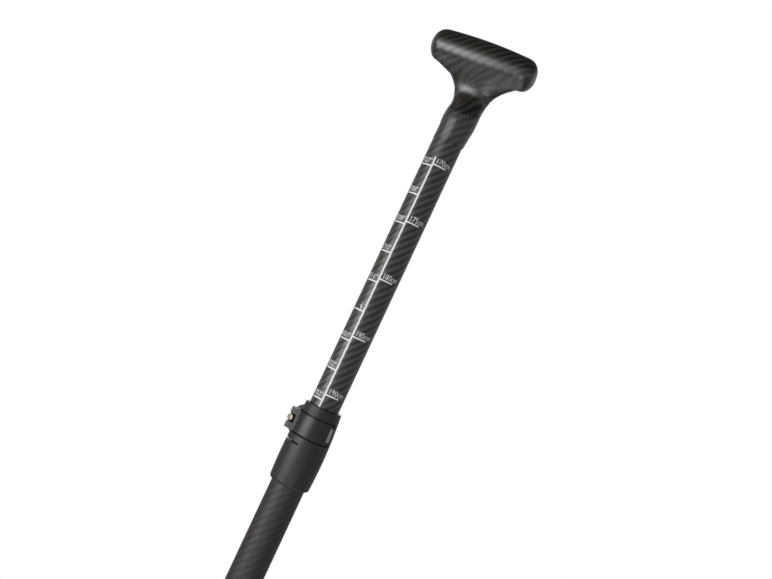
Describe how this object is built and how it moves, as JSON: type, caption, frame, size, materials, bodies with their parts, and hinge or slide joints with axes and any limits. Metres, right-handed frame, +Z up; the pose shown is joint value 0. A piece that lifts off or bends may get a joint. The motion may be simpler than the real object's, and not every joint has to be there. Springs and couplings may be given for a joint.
{
  "type": "adjustable single blade paddle",
  "caption": "Single blade paddle: palm T grip on a scaled telescoping carbon handle, held by a lever clamp on a carbon shaft with a raked teardrop blade.",
  "frame": {"origin": "on the shaft's axis at the clamp collar's lower edge, where a rack clip holds the free shaft", "axes": "+Z up the shaft to the grip, +X along the grip's bar and across the blade, -Y the way the scale and the blade's power face look"},
  "size_m": [0.2024, 0.1028, 1.9114],
  "materials": {
    "carbon_gloss": "clear-coated carbon fibre twill with a satin gloss",
    "carbon_matte": "matte carbon fibre shaft",
    "blade_carbon": "clear-coated carbon fibre twill skin",
    "black_nylon": "fine-grained black moulded nylon",
    "grey_inlay": "mid grey soft thumb pad",
    "stainless": "stainless steel",
    "foam": "closed-cell foam",
    "plug_plastic": "black moulded plastic",
    "glide_nylon": "natural nylon",
    "edge_plastic": "black ABS edge guard"
  },
  "bodies": {
    "shaft": {"main_shaft": "carbon_matte", "clamp_collar": "black_nylon", "cam_pad": "stainless", "lock_nut": "stainless", "shaft_foam_plug": "foam", "blade_neck": "blade_carbon", "blade_core": "foam", "blade_face_skin": "blade_carbon", "blade_back_skin": "blade_carbon", "blade_edge_guard": "edge_plastic"},
    "guide": {"guide_bush": "glide_nylon"},
    "handle": {"handle_tube": "carbon_gloss", "grip_shell": "carbon_gloss", "grip_core": "foam", "handle_end_plug": "plug_plastic"},
    "pivot": {"barrel_pin": "stainless"},
    "screw": {"tension_screw": "stainless"},
    "lever": {"cam_lever": "black_nylon", "lever_inlay": "grey_inlay"}
  },
  "joints": [
    {"name": "handle_slide", "type": "slide", "parent": "shaft", "child": "guide", "axis": [0, 0, 1], "range_m": [-0.211, 0.239]},
    {"name": "handle_twist", "type": "hinge", "parent": "guide", "child": "handle", "pos_m": [0, 0, 0], "axis": [0, 0, 1], "continuous": true},
    {"name": "screw_travel", "type": "slide", "parent": "shaft", "child": "pivot", "axis": [-0.165, -0.9863, 0], "range_m": [0, 0.001]},
    {"name": "screw_turn", "type": "hinge", "parent": "pivot", "child": "screw", "pos_m": [-0.01954, -0.00646, 0.049], "axis": [-0.165, -0.9863, 0], "range_deg": [0, 721]},
    {"name": "lever_swing", "type": "hinge", "parent": "pivot", "child": "lever", "pos_m": [-0.01924, -0.00469, 0.049], "axis": [0, 0, -1], "range_deg": [0, 115]}
  ],
  "couplings": [
    {"joint": "screw_turn", "follows": "screw_travel", "rad_per_m": 12566}
  ]
}
